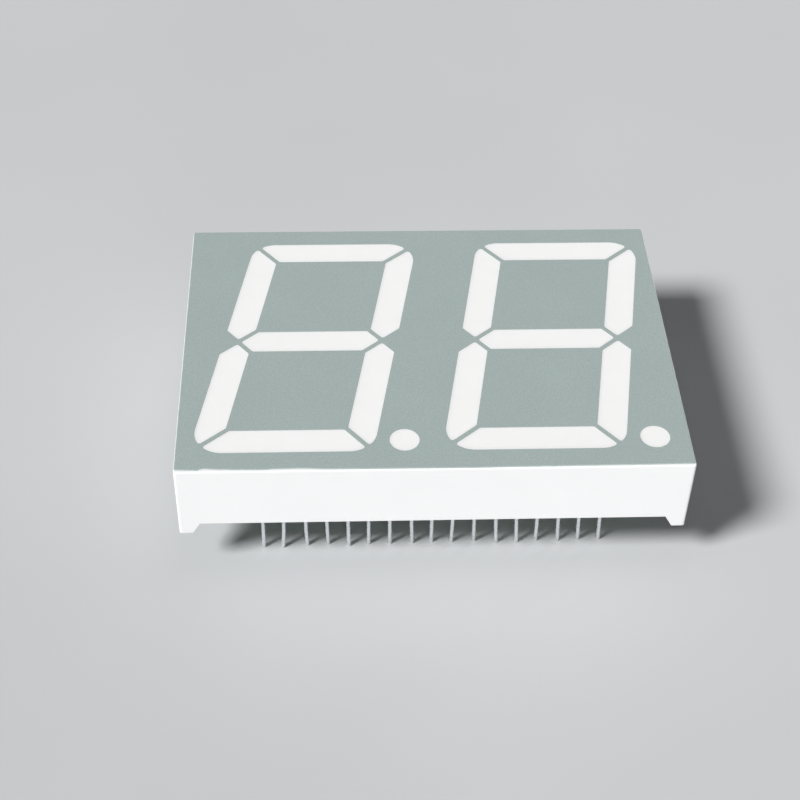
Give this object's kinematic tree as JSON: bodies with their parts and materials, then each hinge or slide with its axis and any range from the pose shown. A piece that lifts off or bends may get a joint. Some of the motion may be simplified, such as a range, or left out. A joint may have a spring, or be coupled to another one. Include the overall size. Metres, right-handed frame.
{
  "type": "seven segment display",
  "caption": "Leaning seven segment numeral display with decimal points: white reflector housing, grey face, milky resin segments, corner feet and rows of through-hole pins.",
  "frame": {"origin": "under the middle of the part, level with the pin tips that it stands on", "axes": "+X along the digits from left to right, +Y towards the tops of the digits, +Z out of the face"},
  "size_m": [0.06, 0.044, 0.0164],
  "materials": {
    "housing": "white moulded plastic with a fine satin surface",
    "coat": "thin matt grey paint with a slight green cast",
    "segment_resin": "cast milky white resin, flush with the face, slightly translucent",
    "board": "glass-epoxy board under green solder resist",
    "seal": "cured resin bead, milky and glossy",
    "pin": "bright tinned wire",
    "solder": "satin bright solder",
    "chip": "bare light emitting chips under the resin"
  },
  "bodies": {
    "root": {"reflector_housing": "housing", "face_coat": "coat", "left_segment_a": "segment_resin", "left_segment_b": "segment_resin", "left_segment_c": "segment_resin", "left_segment_d": "segment_resin", "left_segment_e": "segment_resin", "left_segment_f": "segment_resin", "left_segment_g": "segment_resin", "right_segment_a": "segment_resin", "right_segment_b": "segment_resin", "right_segment_c": "segment_resin", "right_segment_d": "segment_resin", "right_segment_e": "segment_resin", "right_segment_f": "segment_resin", "right_segment_g": "segment_resin", "left_decimal_point": "segment_resin", "right_decimal_point": "segment_resin", "circuit_board": "board", "edge_seal": "seal", "pin_01": "pin", "pin_02": "pin", "pin_03": "pin", "pin_04": "pin", "pin_05": "pin", "pin_06": "pin", "pin_07": "pin", "pin_08": "pin", "pin_09": "pin", "pin_10": "pin", "pin_11": "pin", "pin_12": "pin", "pin_13": "pin", "pin_14": "pin", "pin_15": "pin", "pin_16": "pin", "pin_17": "pin", "pin_18": "pin", "pin_19": "pin", "pin_20": "pin", "pin_21": "pin", "pin_22": "pin", "pin_23": "pin", "pin_24": "pin", "pin_25": "pin", "pin_26": "pin", "pin_27": "pin", "pin_28": "pin", "pin_29": "pin", "pin_30": "pin", "pin_31": "pin", "pin_32": "pin", "pin_33": "pin", "pin_34": "pin", "front_solder": "solder", "rear_solder": "solder", "left_light_chips": "chip", "right_light_chips": "chip"}
  },
  "joints": []
}
